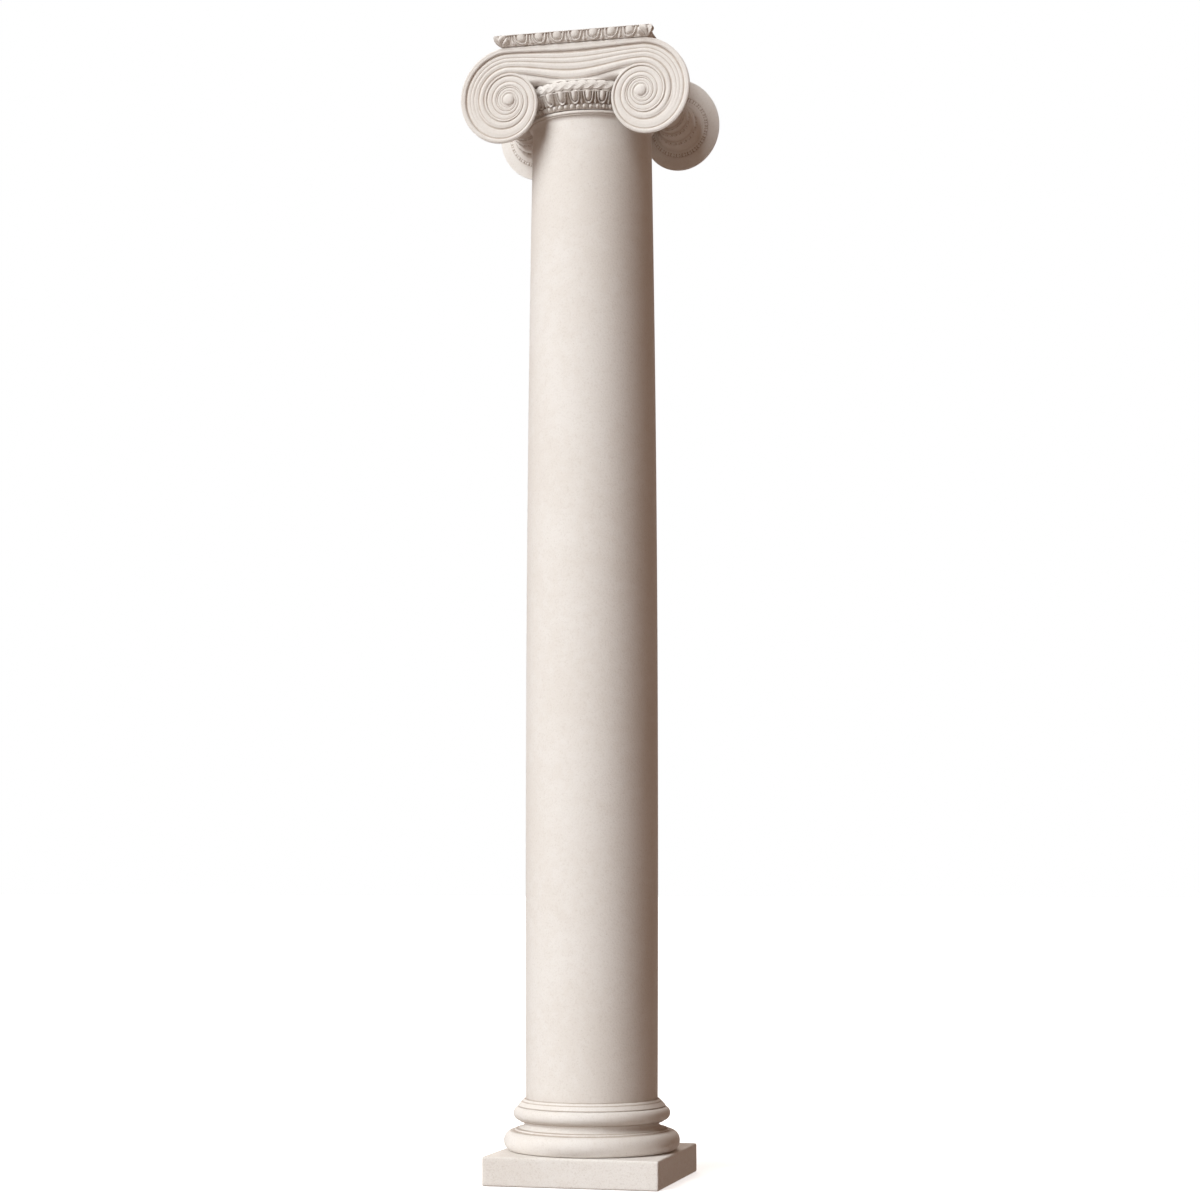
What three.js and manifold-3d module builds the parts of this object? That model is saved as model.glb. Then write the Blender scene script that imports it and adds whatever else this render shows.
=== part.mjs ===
// Ionic column, standing by its own weight: a square plinth, an Attic base moulding, a plain
// shaft with entasis, and a Greek Ionic capital with two scrolled faces, two bolsters, a carved
// echinus and a carved abacus. Millimetres, +Z up, origin at the centre of the plinth's underside.
// The scrolled faces look along -Y and +Y, and the bolsters lie along Y at the left and right.
import * as THREE from 'three';
import { mergeVertices } from 'three/addons/utils/BufferGeometryUtils.js';
import Module from 'manifold-3d';

const wasm = await Module();
wasm.setup();

// ---- Driving dimensions ----
const shaftFoot = 152.5;        // shaft radius where it meets the base, a 305 mm (12 in) column
const shaftSwell = 154.7;       // largest radius, at the height of the entasis
const shaftNeck = 142.3;        // radius just under the neck ring

const floorZ = 0;
const plinthTop = 66;
const baseTop = 184;
const swellZ = 1000;            // height of the shaft's largest radius
const neckZ = 2462;             // top of the plain shaft, where it flares into the neck ring
const shaftTop = 2485;
const echinusTop = 2549;        // top of the plaited torus
const abacusFoot = 2641;
const abacusTop = 2665;

const plinthHalf = 204;
const faceY = 175;              // the scrolled faces' rims, from the column's axis
const faceRecess = 4;           // depth of the channel between the rims
const plateThickness = 10;
const scrollX = 159.4;          // centre of each scroll's eye, from the column's axis
const scrollZ = 2514.5;
const eyeRadius = 13.5;
const bolsterX = 179;           // axis of each bolster
const bolsterZ = 2515;
const abacusHalfFoot = 177;     // the abacus is square in plan
const abacusHalfTop = 190;

const roundSegments = 32;       // facets around the shaft, base and echinus
const bolsterSegments = 22;

// ---- Solids and meshes ----
function solidFrom(geometry) {
  const bare = geometry.index ? geometry.toNonIndexed() : geometry.clone();
  bare.deleteAttribute('normal');
  bare.deleteAttribute('uv');
  const merged = mergeVertices(bare, 1e-3);
  const corners = merged.index.array;
  const kept = [];
  for (let i = 0; i < corners.length; i += 3) {
    const [a, b, c] = [corners[i], corners[i + 1], corners[i + 2]];
    if (a !== b && b !== c && c !== a) kept.push(a, b, c);
  }
  const mesh = new wasm.Mesh({
    numProp: 3,
    vertProperties: new Float32Array(merged.attributes.position.array),
    triVerts: new Uint32Array(kept),
  });
  const solid = new wasm.Manifold(mesh);
  if (solid.volume() <= 0) throw new Error('a solid is inside out');
  return solid;
}

function geometryFrom(solid) {
  const mesh = solid.getMesh();
  const geometry = new THREE.BufferGeometry();
  geometry.setAttribute('position', new THREE.BufferAttribute(mesh.vertProperties, 3));
  geometry.setIndex(new THREE.BufferAttribute(mesh.triVerts, 1));
  geometry.computeVertexNormals();
  return geometry;
}

function joined(solids) {
  return solids.reduce((whole, next) => whole.add(next));
}

function namedMesh(name, geometry, color) {
  const material = new THREE.MeshStandardMaterial({ color, roughness: 0.75, metalness: 0 });
  const mesh = new THREE.Mesh(geometry, material);
  mesh.name = name;
  return mesh;
}

// A LatheGeometry turns about Y, so it is stood up to turn about Z.
function turned(profile, segments = roundSegments) {
  const points = profile.map(([r, z]) => new THREE.Vector2(r, z));
  return new THREE.LatheGeometry(points, segments).rotateX(Math.PI / 2);
}

// Points on an arc of an ellipse, from one angle to another in degrees, 0 pointing outwards.
function arc(r, z, radiusR, radiusZ, from, to, steps) {
  const points = [];
  for (let i = 0; i <= steps; i++) {
    const angle = THREE.MathUtils.degToRad(from + ((to - from) * i) / steps);
    points.push([r + radiusR * Math.cos(angle), z + radiusZ * Math.sin(angle)]);
  }
  return points;
}

// ---- Plinth ----
function plinth() {
  const cornerRadius = 5;
  const arris = 2.5;
  const half = plinthHalf - arris;
  const inner = half - cornerRadius;
  const shape = new THREE.Shape();
  for (const [x, y, quarter] of [[1, -1, 3], [1, 1, 0], [-1, 1, 1], [-1, -1, 2]]) {
    const start = (quarter * Math.PI) / 2;
    shape.absarc(x * inner, y * inner, cornerRadius, start, start + Math.PI / 2, false);
  }
  shape.closePath();
  const geometry = new THREE.ExtrudeGeometry(shape, {
    depth: plinthTop - floorZ - 2 * arris,
    bevelEnabled: true,
    bevelSize: arris,
    bevelThickness: arris,
    bevelSegments: 1,
    curveSegments: 2,
  });
  return geometry.translate(0, 0, floorZ + arris);
}

// ---- Attic base: two tori with a scotia between them, and two small steps up to the shaft ----
function baseMoulding() {
  const lowerTorus = 22;        // half heights of the two tori
  const upperTorus = 15;
  const lowerTorusRadius = 203.5;
  const upperTorusRadius = 181.5;
  const lowerFillet = 178;
  const upperFillet = 166;
  const scotiaDepth = 156;
  const lowerZ = plinthTop + lowerTorus;
  const upperZ = 151;
  const profile = [
    [0, plinthTop],
    ...arc(lowerTorusRadius - lowerTorus, lowerZ, lowerTorus, lowerTorus, -90, 80, 6),
    [lowerFillet, plinthTop + 2 * lowerTorus],
    [lowerFillet, 115],
    [scotiaDepth + 6, 119],
    [scotiaDepth, 126],
    [scotiaDepth + 3, 131],
    [upperFillet, 134],
    ...arc(upperTorusRadius - upperTorus, upperZ, upperTorus, upperTorus, -90, 90, 6),
    [171, 167],
    [163, 175.5],
    [161, 177],
    [155.5, baseTop],
    [0, baseTop],
  ];
  return turned(profile);
}

// ---- Shaft: entasis, then a small flare and a half-round ring at the neck ----
function shaftRadius(z) {
  const foot = (shaftSwell - shaftFoot) / (swellZ - baseTop) ** 2;
  const neck = (shaftSwell - shaftNeck) / (neckZ - swellZ) ** 2;
  return shaftSwell - (z < swellZ ? foot : neck) * (z - swellZ) ** 2;
}

function shaft() {
  const profile = [[0, baseTop]];
  const steps = 7;
  for (let i = 0; i <= steps; i++) {
    const z = baseTop + ((neckZ - baseTop) * i) / steps;
    profile.push([shaftRadius(z), z]);
  }
  const ringRadius = 153;
  const ringHalf = 4.75;
  const filletZ = shaftTop - 2 * ringHalf;
  profile.push([shaftNeck + 2, neckZ + 7], [149, filletZ - 2.5], [149, filletZ]);
  profile.push(...arc(ringRadius - ringHalf, filletZ + ringHalf, ringHalf, ringHalf, -60, 90, 4));
  profile.push([0, shaftTop]);
  return turned(profile);
}

// ---- Capital ----
// Each face is one band that starts in one eye, winds outwards, crosses as the channel, and winds
// into the other eye. Across the band, 0 is its outer edge and 1 is the next turn's outer edge.
const windShrink = 0.51;        // size of one turn against the turn outside it
const scrollHalfWidth = 127.3;
const scrollHalfHeight = 134.7;
const scrollDriftX = 11.3;      // how far the turns' centre lies from the eye
const scrollDriftZ = -9.3;
const channelSag = 22.5;        // how far the channel's lower edge hangs in the middle

function scrollPoint(turns) {
  const angle = Math.PI / 2 - 2 * Math.PI * turns;
  const size = windShrink ** turns;
  return [
    scrollX + size * (scrollHalfWidth * Math.cos(angle) + scrollDriftX),
    scrollZ + size * (scrollHalfHeight * Math.sin(angle) + scrollDriftZ),
  ];
}

const channelTop = scrollPoint(0);
const channelFoot = scrollPoint(1);

// A point of the band: along runs from -1 to 1 over the channel and on by turns into the scrolls.
function bandPoint(along, across) {
  const side = Math.sign(along) || 1;
  const reach = Math.abs(along);
  let outer;
  let inner;
  if (reach > 1) {
    outer = scrollPoint(reach - 1);
    inner = scrollPoint(reach);
  } else {
    const sag = (channelSag * (1 + Math.cos(Math.PI * reach))) / 2;
    outer = [reach * channelTop[0], channelTop[1]];
    inner = [reach * channelFoot[0], channelFoot[1] - sag];
  }
  const x = outer[0] + (inner[0] - outer[0]) * across;
  const z = outer[1] + (inner[1] - outer[1]) * across;
  return [side * x, z];
}

function alongBand(turns) {
  const stations = [];
  const perTurn = 14;
  const channelSteps = 4;
  for (let i = 0; i < channelSteps; i++) stations.push(i / channelSteps);
  for (let i = 0; i <= perTurn * turns; i++) stations.push(1 + i / perTurn);
  return [...stations.slice(1).reverse().map((s) => -s), ...stations];
}

// Turns a shape drawn in X and Z into a slab between two depths of the front face.
function slab(shape, nearY, farY) {
  const depth = nearY - farY;
  const geometry = new THREE.ExtrudeGeometry(shape, { depth, bevelEnabled: false });
  return geometry.rotateX(Math.PI / 2).translate(0, -farY, 0);
}

// The outline of a scrolled face: the top edge, both scrolls' first turn and the sagging edge.
function facePlate() {
  const half = [];
  const lastTurn = 0.9;
  const steps = 18;
  for (let i = 0; i <= steps; i++) half.push(scrollPoint((lastTurn * i) / steps));
  for (const reach of [0.8, 0.5, 0.25]) half.push(bandPoint(reach, 1));
  const mirrored = half.map(([x, z]) => [-x, z]).reverse();
  const outline = [...half, bandPoint(0, 1), ...mirrored];
  const shape = new THREE.Shape(outline.map(([x, z]) => new THREE.Vector2(x, z)));
  return slab(shape, faceY - faceRecess, faceY - plateThickness);
}

// A raised ridge that follows the band between two places across it.
function ridge(from, to, turns, height) {
  const stations = alongBand(turns);
  const rows = stations.map((s) => [bandPoint(s, from), bandPoint(s, to)]);
  const near = -(faceY - faceRecess + height);
  const far = -(faceY - plateThickness / 2);
  const positions = [];
  for (const [[ax, az], [bx, bz]] of rows) {
    positions.push(ax, near, az, bx, near, bz, bx, far, bz, ax, far, az);
  }
  const index = [];
  const quad = (a, b, c, d) => index.push(a, b, c, a, c, d);
  for (let i = 0; i + 1 < rows.length; i++) {
    for (let k = 0; k < 4; k++) {
      const next = (k + 1) % 4;
      quad(4 * i + k, 4 * i + next, 4 * (i + 1) + next, 4 * (i + 1) + k);
    }
  }
  const last = 4 * (rows.length - 1);
  quad(3, 2, 1, 0);
  quad(last, last + 1, last + 2, last + 3);
  const geometry = new THREE.BufferGeometry();
  geometry.setAttribute('position', new THREE.Float32BufferAttribute(positions, 3));
  geometry.setIndex(index);
  return geometry;
}

function eye(side) {
  const proud = 4;
  const button = new THREE.SphereGeometry(eyeRadius, 10, 6).scale(1, (faceRecess + proud) / eyeRadius, 1);
  return button.translate(side * scrollX, -(faceY - faceRecess), scrollZ);
}

function scrolledFace() {
  const rimWidth = 0.19;
  const rollStart = 0.8;
  const parts = [
    facePlate(),
    ridge(0.005, rimWidth, 2, faceRecess),
    ridge(rollStart, 0.97, 1, faceRecess - 1),
    eye(-1),
    eye(1),
  ];
  return joined(parts.map(solidFrom));
}

// A bolster narrows from each scroll to its middle, with four beaded bands on each half.
function bolsterRadius(y) {
  const waist = 35.5;
  const swell = 23.5;
  const flare = 44;
  const flarePower = 14;
  const reach = Math.abs(y) / faceY;
  return waist + swell * reach ** 2 + flare * reach ** flarePower;
}

function bolster(side) {
  const half = faceY - faceRecess - 1;
  const bands = [39, 76, 122, 159];
  const bandHeight = 3;
  const bandHalf = 6;
  const profile = [[bolsterRadius(0), 0]];
  for (const band of bands) {
    profile.push([bolsterRadius(band - bandHalf), band - bandHalf]);
    profile.push([bolsterRadius(band) + bandHeight, band]);
    profile.push([bolsterRadius(band + bandHalf), band + bandHalf]);
  }
  profile.push([bolsterRadius(half), half]);
  const otherHalf = profile.slice(1).reverse().map(([r, y]) => [r, -y]);
  const closed = [[0, -half], ...otherHalf, ...profile, [0, half]];
  const points = closed.map(([r, y]) => new THREE.Vector2(r, y));
  const geometry = new THREE.LatheGeometry(points, bolsterSegments);
  return geometry.translate(side * bolsterX, 0, bolsterZ);
}

// Echinus: a ring of beads, the egg course and the plaited torus.
const eggCourseFoot = shaftTop + 13;
const eggCourseTop = eggCourseFoot + 25;

function echinus() {
  const beadHalf = (eggCourseFoot - shaftTop) / 2;
  const plaitHalf = (echinusTop - eggCourseTop) / 2;
  return turned([
    [0, shaftTop],
    ...arc(153, shaftTop + beadHalf, beadHalf, beadHalf, -90, 75, 4),
    [158, eggCourseFoot],
    [168, eggCourseFoot + 12],
    [173, eggCourseTop],
    ...arc(170, eggCourseTop + plaitHalf, plaitHalf, plaitHalf, -75, 90, 4),
    [0, echinusTop],
  ]);
}

function egg(width, height, depth) {
  return new THREE.SphereGeometry(1, 6, 3).scale(width / 2, depth, height / 2);
}

function echinusEggs() {
  const count = 32;
  const shown = 4;
  const eggs = [];
  for (let i = -shown; i <= shown; i++) {
    const angle = (2 * Math.PI * i) / count;
    eggs.push(egg(15, 26, 8).translate(0, -163, (eggCourseFoot + eggCourseTop) / 2).rotateZ(angle));
  }
  return eggs;
}

// Abacus: a slab whose rounded edge is an egg course.
function abacus() {
  const steps = 4;
  const lip = 4;
  const levels = [];
  for (let i = 0; i <= steps; i++) {
    const lift = (i / steps) * (Math.PI / 2);
    const half = abacusHalfFoot + (abacusHalfTop - abacusHalfFoot) * Math.sin(lift);
    levels.push([half, abacusFoot + (abacusTop - lip - abacusFoot) * (1 - Math.cos(lift))]);
  }
  levels.push([abacusHalfTop, abacusTop]);
  const toCorner = Math.SQRT2;
  const profile = [[0, abacusFoot - 12], [abacusHalfFoot, abacusFoot - 12], ...levels, [0, abacusTop]];
  const points = profile.map(([r, z]) => new THREE.Vector2(r * toCorner, z));
  return new THREE.LatheGeometry(points, 4).rotateX(Math.PI / 2).rotateZ(Math.PI / 4);
}

// One side's eggs, as they lie on the front of an abacus of the given half depth.
function abacusEggs(spacing, halfDepth) {
  const eachSide = 3;
  const tilt = -0.6;
  const eggs = [];
  for (let i = -eachSide; i <= eachSide; i++) {
    eggs.push(egg(19, 20, 5).rotateX(tilt).translate(i * spacing, 8 - halfDepth, abacusFoot + 9.5));
  }
  return eggs;
}

function capital() {
  const cushionFoot = echinusTop - 6;
  const cushionHeight = abacusFoot - cushionFoot;
  const cushionHalfY = faceY - plateThickness + 2;
  const cushion = new THREE.BoxGeometry(2 * abacusHalfFoot, 2 * cushionHalfY, cushionHeight);
  cushion.translate(0, 0, cushionFoot + cushionHeight / 2);
  const body = [cushion, echinus(), abacus(), bolster(-1), bolster(1)].map(solidFrom);
  const frontEggs = [...echinusEggs(), ...abacusEggs(44, abacusHalfTop)];
  const front = joined([scrolledFace(), ...frontEggs.map(solidFrom)]);
  const side = joined(abacusEggs(44, abacusHalfTop).map(solidFrom)).rotate([0, 0, 90]);
  const halves = joined([front, side]);
  return geometryFrom(joined([...body, halves, halves.rotate([0, 0, 180])]));
}

const column = new THREE.Group();
column.name = 'ionic_column';
column.add(
  namedMesh('plinth', plinth(), 0xe9e3da),
  namedMesh('base_moulding', baseMoulding(), 0xe9e3da),
  namedMesh('shaft', shaft(), 0xebe6de),
  namedMesh('capital', capital(), 0xece7e0),
);

export default column;
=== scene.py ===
import math
import bmesh
import bpy
import numpy as np
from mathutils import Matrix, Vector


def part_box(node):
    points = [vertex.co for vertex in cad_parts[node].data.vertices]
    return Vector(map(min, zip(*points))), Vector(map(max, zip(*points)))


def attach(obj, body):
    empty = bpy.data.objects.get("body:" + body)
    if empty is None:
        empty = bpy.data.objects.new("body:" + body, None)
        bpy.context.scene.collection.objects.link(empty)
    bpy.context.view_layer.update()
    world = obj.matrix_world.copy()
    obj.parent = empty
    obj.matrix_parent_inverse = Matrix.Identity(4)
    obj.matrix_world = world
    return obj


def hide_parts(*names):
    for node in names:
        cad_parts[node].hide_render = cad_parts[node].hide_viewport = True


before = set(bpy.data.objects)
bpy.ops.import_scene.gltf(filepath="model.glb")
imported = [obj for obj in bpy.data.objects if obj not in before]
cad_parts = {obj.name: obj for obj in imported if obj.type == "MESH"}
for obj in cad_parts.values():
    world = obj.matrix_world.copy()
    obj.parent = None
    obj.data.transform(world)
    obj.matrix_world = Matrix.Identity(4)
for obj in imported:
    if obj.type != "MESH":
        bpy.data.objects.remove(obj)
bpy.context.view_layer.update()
mm = 0.001  # the shapes below are worked out in millimetres and stored in metres


def nodeSpan(node):
    # lowest and highest point of a solid, in millimetres
    low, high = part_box(node)
    return low.z / mm, high.z / mm


plinthFoot, plinthTop = nodeSpan("plinth")
baseFoot = nodeSpan("base_moulding")[0]
shaftFoot, shaftTop = nodeSpan("shaft")
capitalTop = nodeSpan("capital")[1]
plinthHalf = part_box("plinth")[1].x / mm
abacusHeight = 24
faceTop = capitalTop - abacusHeight  # where the scrolled faces end


# meshes; a part is its points, its faces and how deep in the carving each point lies, which sets the shade
# painted there
def gridFaces(rows, columns, wrapRows=False, wrapColumns=False):
    # quads over points that are numbered row by row
    rowSpan = np.arange(rows if wrapRows else rows - 1)
    columnSpan = np.arange(columns if wrapColumns else columns - 1)
    i, j = np.meshgrid(rowSpan, columnSpan, indexing="ij")
    nextI, nextJ = (i + 1) % rows, (j + 1) % columns
    corners = [i * columns + j, i * columns + nextJ, nextI * columns + nextJ, nextI * columns + j]
    return np.stack(corners, axis=-1).reshape(-1, 4)


def closedTube(rows, columns):
    # rings of points joined row by row, with a flat face over the first ring and the last
    faces = gridFaces(rows, columns, wrapColumns=True).tolist()
    faces.append(list(range(columns)))
    faces.append(list(range((rows - 1) * columns, rows * columns)))
    return faces


def joinParts(parts):
    points, faces, hollows, first = [], [], [], 0
    for somePoints, someFaces, someHollows in parts:
        points.append(somePoints)
        faces += [[int(v) + first for v in face] for face in someFaces]
        hollows.append(np.zeros(len(somePoints)) if someHollows is None else np.ravel(someHollows))
        first += len(somePoints)
    return np.concatenate(points), faces, np.concatenate(hollows)


def makePiece(name, part, node, material, sharpDegrees=40):
    points, faces, hollows = part
    mesh = bpy.data.meshes.new(name)
    mesh.from_pydata((np.asarray(points) * mm).tolist(), [], [[int(v) for v in face] for face in faces])
    if hollows is not None:
        # this attribute carries where shade is painted into the colour
        depth = mesh.attributes.new("hollowShade", "FLOAT", "POINT")
        depth.data.foreach_set("value", np.ravel(hollows).astype(np.float32))
    work = bmesh.new()
    work.from_mesh(mesh)
    bmesh.ops.remove_doubles(work, verts=work.verts, dist=0.004 * mm)
    bmesh.ops.dissolve_degenerate(work, edges=work.edges, dist=0.002 * mm)
    bmesh.ops.recalc_face_normals(work, faces=work.faces)
    work.to_mesh(mesh)
    work.free()
    mesh.shade_smooth()
    mesh.set_sharp_from_angle(angle=math.radians(sharpDegrees))
    mesh.materials.append(material)
    piece = bpy.data.objects.new(name, mesh)
    bpy.context.scene.collection.objects.link(piece)
    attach(piece, "root")
    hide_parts(node)
    print(f"{name}: {len(mesh.polygons)} faces")


def arc(r, z, radiusR, radiusZ, start, end, steps):
    # part of an ellipse in a turned profile, angles in degrees, 0 pointing outwards
    angles = np.radians(np.linspace(start, end, steps + 1))
    return [(r + radiusR * math.cos(a), z + radiusZ * math.sin(a)) for a in angles]


def smoothStep(low, high, value):
    x = np.clip((np.asarray(value, float) - low) / (high - low), 0, 1)
    return x * x * (3 - 2 * x)


def throughPoints(x, stops):
    # a soft curve that is level at each of its stops
    xs, ys = np.array([s[0] for s in stops]), np.array([s[1] for s in stops], float)
    x = np.clip(x, xs[0], xs[-1])
    k = np.clip(np.searchsorted(xs, x, side="right") - 1, 0, len(xs) - 2)
    return ys[k] + (ys[k + 1] - ys[k]) * smoothStep(0, 1, (x - xs[k]) / (xs[k + 1] - xs[k]))


turning = {"step": 1.2, "longEdge": 12}  # edges of a profile under longEdge are cut into steps


def turnedSolid(profile, segments, creases=()):
    # a profile from its lowest ring to its highest, turned about Z and closed by flat ends;
    # creases are the heights of sharp hollows that get painted shade, each with its width
    fine = [profile[0]]
    for (r1, z1), (r2, z2) in zip(profile[:-1], profile[1:]):
        length = math.dist((r1, z1), (r2, z2))
        steps = math.ceil(length / turning["step"]) if length < turning["longEdge"] else 1
        for k in range(1, steps + 1):
            fine.append((r1 + (r2 - r1) * k / steps, z1 + (z2 - z1) * k / steps))
    fine = np.array(fine)
    angles = np.arange(segments) * 2 * math.pi / segments
    r, z = fine[:, :1], fine[:, 1:]
    points = np.stack([r * np.cos(angles), r * np.sin(angles), z + 0 * angles], axis=-1).reshape(-1, 3)
    hollows = np.zeros((len(fine), segments))
    for place, width in creases:
        hollows = np.maximum(hollows, np.exp(-(((z - place) / width) ** 2)))
    return points, closedTube(len(fine), segments), hollows


def turnedRing(outer, inner, segments, relief=None):
    # a closed ring: its outer profile bottom to top, its inner profile top to bottom;
    # relief(angle, across) lifts the outer profile along its own normal, across runs from 0 to 1
    outer, inner = np.array(outer, float), np.array(inner, float)
    slope = np.gradient(outer, axis=0)
    normal = np.stack([slope[:, 1], -slope[:, 0]], axis=1)
    normal /= np.linalg.norm(normal, axis=1, keepdims=True)
    angles = np.arange(segments) * 2 * math.pi / segments
    length = np.concatenate([[0], np.cumsum(np.linalg.norm(np.diff(outer, axis=0), axis=1))])
    across = (length / length[-1])[:, None]
    height = relief(angles[None, :], across) if relief else np.zeros((len(outer), segments))
    r = np.concatenate([outer[:, :1] + normal[:, :1] * height, inner[:, :1] + 0 * angles[None, :]])
    z = np.concatenate([outer[:, 1:] + normal[:, 1:] * height, inner[:, 1:] + 0 * angles[None, :]])
    # angle 0 of the relief looks along -Y, towards the front
    points = np.stack([r * np.sin(angles), -r * np.cos(angles), z], axis=-1).reshape(-1, 3)
    hollows = np.zeros(r.shape)
    if relief:
        hollows[: len(outer)] = hollowOf(height / height.max())
    return points, gridFaces(len(r), segments, wrapRows=True, wrapColumns=True), hollows


def hollowOf(height):
    # 1 in the ground between the carving, 0 on the carving itself; it sets where shade is painted
    return 1 - smoothStep(0.0, 0.32, height)


class Wire:
    # one socket of a node tree, so that sums on shader values read as sums
    def __init__(self, tree, socket=None):
        self.tree = tree
        self.socket = socket

    def node(self, kind, settings=None, sockets=None, output=0):
        made = self.tree.nodes.new(kind)
        for key, value in (settings or {}).items():
            setattr(made, key, value)
        for key, value in (sockets or {}).items():
            if isinstance(value, Wire):
                self.tree.links.new(value.socket, made.inputs[key])
            else:
                made.inputs[key].default_value = value
        return Wire(self.tree, made.outputs[output] if made.outputs else None)

    def sum(self, operation, first, second):
        return self.node("ShaderNodeMath", {"operation": operation}, {0: first, 1: second})

    def __add__(self, other):
        return self.sum("ADD", self, other)

    def __radd__(self, other):
        return self.sum("ADD", other, self)

    def __sub__(self, other):
        return self.sum("SUBTRACT", self, other)

    def __rsub__(self, other):
        return self.sum("SUBTRACT", other, self)

    def __mul__(self, other):
        return self.sum("MULTIPLY", self, other)

    def __rmul__(self, other):
        return self.sum("MULTIPLY", other, self)

    def between(self, low, high):
        # 0 below low, 1 above high
        span = {"Value": self, "From Min": low, "From Max": high}
        return self.node("ShaderNodeMapRange", {"interpolation_type": "SMOOTHSTEP"}, span)

    def mixed(self, first, second):
        # this value mixes two colours
        sockets = {"Factor": self, "A": first, "B": second}
        return self.node("ShaderNodeMix", {"data_type": "RGBA"}, sockets, output=2)


plaster = {
    "pale": (0.835, 0.81, 0.785, 1),
    "warm": (0.80, 0.765, 0.73, 1),
    "hollowShade": (0.42, 0.335, 0.275, 1),  # painted shade in the bottom of the carving and in sharp creases
    "arrisPale": (0.88, 0.87, 0.86, 1),  # paler colour laid on convex arrises
    "speck": (0.42, 0.35, 0.29, 1),
    "cloudScale": 4.5,
    "blotchScale": 38,
    "poreScale": 85,
    "poreAreaScale": 23,  # pores come in patches of about this size
    "sandScale": 215,
    "sandDepth": 3.4,  # against the fine grain
    "grainScale": 480,
    "grainDepth": 0.0003,
    "dustScale": 1900,
    "roughness": 0.78,
    "shine": 0.32,
}


def castPlaster(name, hollowStrength, grain, seed):
    # clouded, faintly sandy plaster; seed moves the pattern
    material = bpy.data.materials.new(name)
    material.use_nodes = True
    tree = material.node_tree
    tree.nodes.clear()
    start = Wire(tree)
    place = start.node("ShaderNodeTexCoord", output="Object")
    shift = (seed, seed * 0.7, seed * 1.3)
    shifted = start.node("ShaderNodeVectorMath", {"operation": "ADD"}, {0: place, 1: shift})

    def noise(scale, detail, rough=0.5):
        sockets = {"Vector": shifted, "Scale": scale, "Detail": detail, "Roughness": rough}
        return start.node("ShaderNodeTexNoise", {"noise_dimensions": "3D"}, sockets)

    clouds = noise(plaster["cloudScale"], 3)
    blotches = noise(plaster["blotchScale"], 4, 0.6)
    grains = noise(plaster["grainScale"], 2, 0.7)
    # this fine noise only roughens the bump
    dustAndShade = noise(plaster["dustScale"], 1)
    sand = noise(plaster["sandScale"], 2, 0.6)
    cells = {"Vector": shifted, "Scale": plaster["poreScale"], "Randomness": 1}
    pores = start.node("ShaderNodeTexVoronoi", {"feature": "F1"}, cells)
    rarely = noise(plaster["poreAreaScale"], 1).between(0.60, 0.66)
    poreMask = (1 - pores.between(0.05, 0.10)) * rarely

    # painted shade: a darker colour in sharp creases, where pointiness is low, and in the carved hollows
    bend = start.node("ShaderNodeNewGeometry", output="Pointiness")
    carved = start.node("ShaderNodeAttribute", {"attribute_name": "hollowShade"}, output="Fac")
    sharp = 1 - bend.between(0.38, 0.49)
    patchy = 0.35 + 0.6 * blotches
    hollows = start.sum("MAXIMUM", sharp * 0.55, carved * patchy) * hollowStrength
    # convex arrises, where pointiness is high, are made paler
    edges = bend.between(0.52, 0.60) * patchy

    tone = (clouds * 0.55 + blotches * 0.45).between(0.38, 0.62)
    colour = tone.mixed(plaster["pale"], plaster["warm"])
    colour = hollows.mixed(colour, plaster["hollowShade"])
    colour = (edges * 0.5).mixed(colour, plaster["arrisPale"])
    colour = (grains.between(0.54, 0.72) * 0.15 * grain).mixed(colour, plaster["speck"])
    colour = (sand.between(0.50, 0.72) * 0.13 * grain).mixed(colour, plaster["speck"])
    colour = (poreMask * 0.5).mixed(colour, plaster["speck"])

    relief = grains * 0.6 + sand * plaster["sandDepth"] + dustAndShade * 0.25
    relief = relief + blotches * 0.5 - poreMask * 1.2
    deep = {"Height": relief, "Strength": 0.55, "Distance": plaster["grainDepth"] * grain}
    bump = start.node("ShaderNodeBump", None, deep)
    rough = plaster["roughness"] + (blotches - 0.5) * 0.16 + hollows * 0.08 - edges * 0.06
    surface = {"Base Color": colour, "Roughness": rough, "Normal": bump}
    surface["Specular IOR Level"] = plaster["shine"]
    shader = start.node("ShaderNodeBsdfPrincipled", None, surface)
    start.node("ShaderNodeOutputMaterial", None, {"Surface": shader})
    return material


# the plinth
plinthBlock = {
    "arris": 4.0,  # how far its edges are rounded off
    "arrisDegrees": [0, 22.5, 45, 67.5, 90],
    "sideSteps": 48,
    "heightSteps": 12,
}
quarterTurns = [(1, 0), (0, 1), (-1, 0), (0, -1)]  # cosine and sine of each


def buildPlinth():
    # a square block with softened arrises
    p = plinthBlock
    half, height, arris = plinthHalf, plinthTop - plinthFoot, p["arris"]
    corner = half - arris
    bends = np.radians(p["arrisDegrees"])
    side = [(half, y) for y in np.linspace(-corner, corner, p["sideSteps"])[:-1]]
    side += [(corner + arris * math.cos(a), corner + arris * math.sin(a)) for a in bends[:-1]]
    outline = np.array([(c * x - s * y, s * x + c * y) for c, s in quarterTurns for x, y in side])
    # each row is how far it lies inside the sides and how far above the foot
    softened = [(arris * (1 - math.sin(a)), arris * (1 - math.cos(a))) for a in bends]
    upright = np.linspace(arris, height - arris, p["heightSteps"])[1:-1]
    rows = softened + [(0, lift) for lift in upright]
    rows += [(inset, height - lift) for inset, lift in reversed(softened)]
    points = []
    for inset, lift in rows:
        scale = (half - inset) / half
        points.append(np.column_stack([outline * scale, np.full(len(outline), plinthFoot + lift)]))
    return np.concatenate(points), closedTube(len(rows), len(outline)), None


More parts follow.
